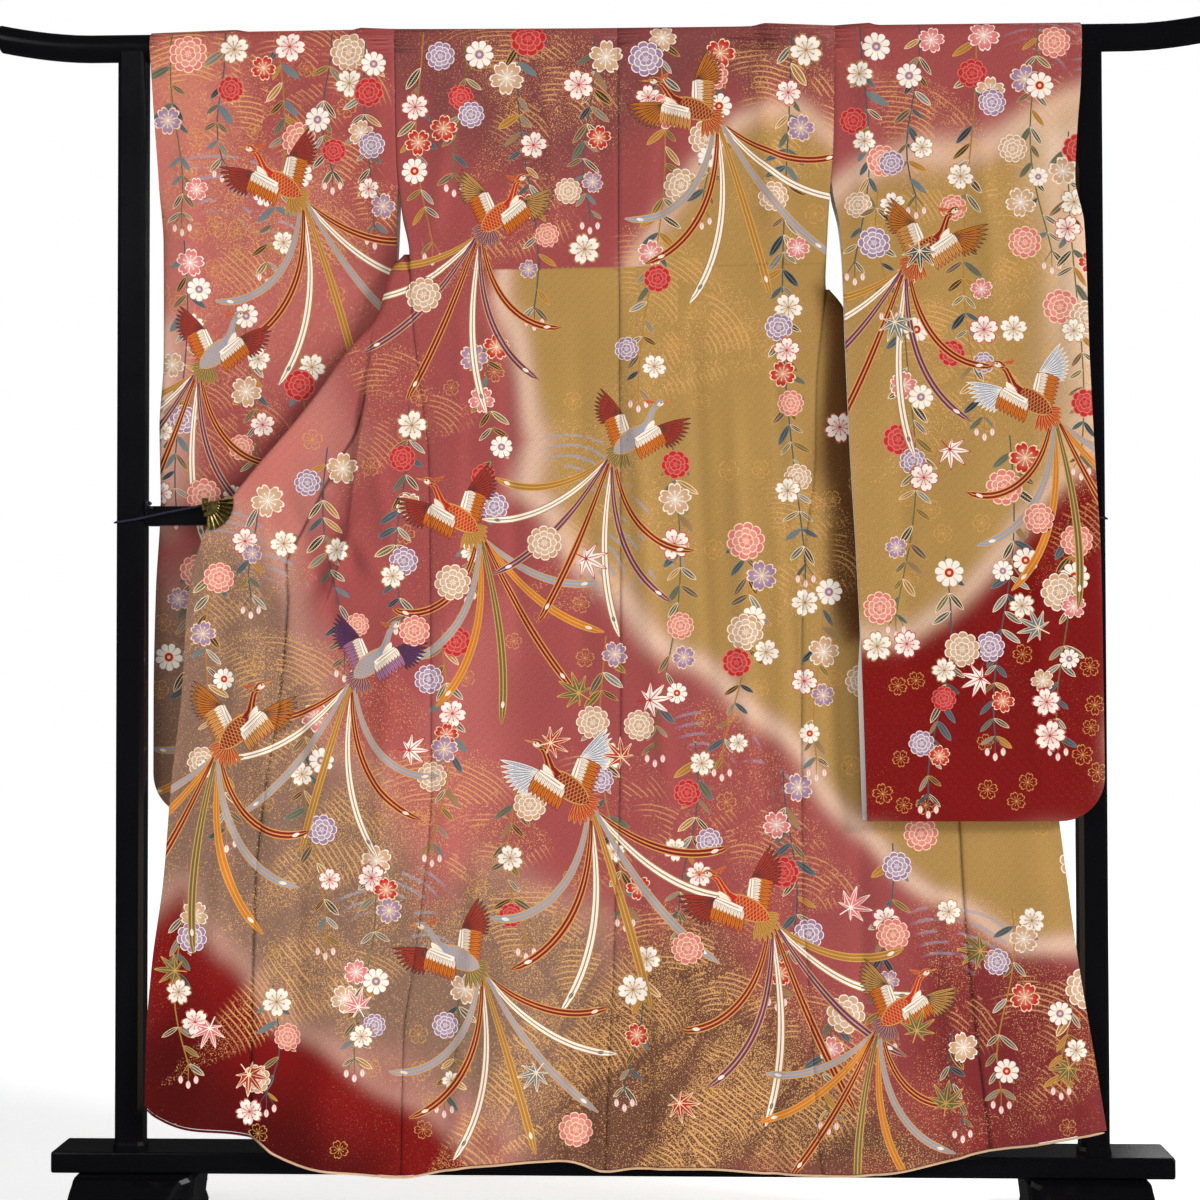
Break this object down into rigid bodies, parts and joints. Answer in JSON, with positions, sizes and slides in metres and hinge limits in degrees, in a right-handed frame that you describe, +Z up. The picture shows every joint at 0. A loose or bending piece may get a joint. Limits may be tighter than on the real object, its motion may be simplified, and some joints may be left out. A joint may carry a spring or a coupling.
{
  "type": "furisode kimono on a display stand",
  "caption": "Long-sleeved formal silk kimono hung over the bar of a black lacquered floor stand, back to the viewer, both fronts clipped open beside it.",
  "frame": {"origin": "on the floor, under the middle of the stand", "axes": "+X to the viewer's right along the bar as one faces the kimono's back, +Y away from that viewer, +Z up"},
  "size_m": [1.7506, 0.38, 1.7339],
  "materials": {
    "black_lacquer": "high gloss black lacquer",
    "antique_brass": "aged, satin",
    "rose_silk": "figured silk crepe, soft sheen",
    "gold_silk": "figured silk crepe, soft sheen",
    "deep_red_silk": "figured silk crepe, soft sheen",
    "taupe_silk": "figured silk crepe, soft sheen",
    "pale_lining": "plain silk lining",
    "purple_cord": "thin braided cord"
  },
  "bodies": {
    "root": {"top_bar": "black_lacquer", "upright_left": "black_lacquer", "upright_right": "black_lacquer", "mid_rail": "black_lacquer", "base_plank": "black_lacquer", "foot_left": "black_lacquer", "foot_right": "black_lacquer", "back_left": "rose_silk", "back_right": "gold_silk", "front_left": "rose_silk", "front_right": "rose_silk", "front_top_left": "rose_silk", "front_top_right": "rose_silk", "overlap_left": "taupe_silk", "overlap_right": "rose_silk", "overlap_top_left": "rose_silk", "overlap_top_right": "rose_silk", "collar_left": "rose_silk", "collar_right": "rose_silk", "collar_neck": "rose_silk", "sleeve_left_back": "rose_silk", "sleeve_left_front": "rose_silk", "sleeve_right_back": "deep_red_silk", "sleeve_right_front": "deep_red_silk", "hem_edge": "pale_lining", "clip_left": "antique_brass", "clip_right": "antique_brass", "cord_left": "purple_cord", "cord_right": "purple_cord"}
  },
  "joints": []
}
